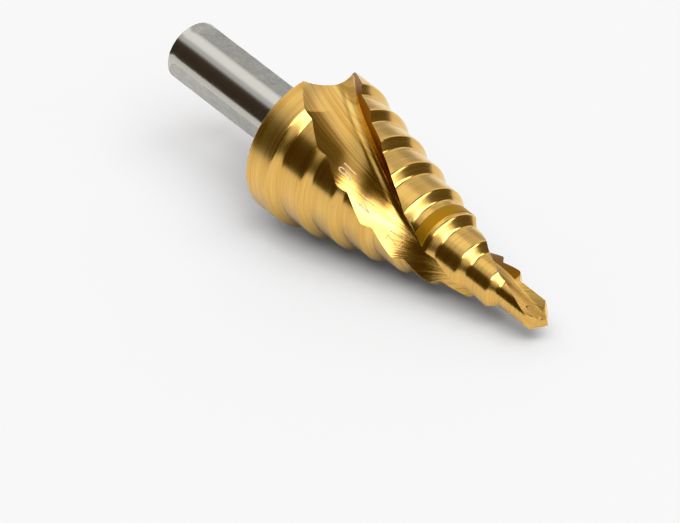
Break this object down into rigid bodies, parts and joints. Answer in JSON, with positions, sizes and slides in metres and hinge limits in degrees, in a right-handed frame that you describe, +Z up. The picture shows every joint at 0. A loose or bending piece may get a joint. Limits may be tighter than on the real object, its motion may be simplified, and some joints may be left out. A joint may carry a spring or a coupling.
{
  "type": "step drill",
  "caption": "Gold-coated step drill: a cone of stepped lands with two spiral flutes, a point with thinned web, and a round steel shank with chuck flats.",
  "frame": {"origin": "centre of the bottom of the box round the drill as it lies on the floor", "axes": "+Z up; +X along the floor from the shank towards the point, so the drill's own axis dips below +X at the point; +Y by the right-hand rule"},
  "size_m": [0.0684, 0.02, 0.0196],
  "materials": {
    "drill_steel": "ground tool steel, gold nitride coating on the cutting part, bare satin steel shank"
  },
  "bodies": {
    "root": {"step_drill": "drill_steel"}
  },
  "joints": []
}
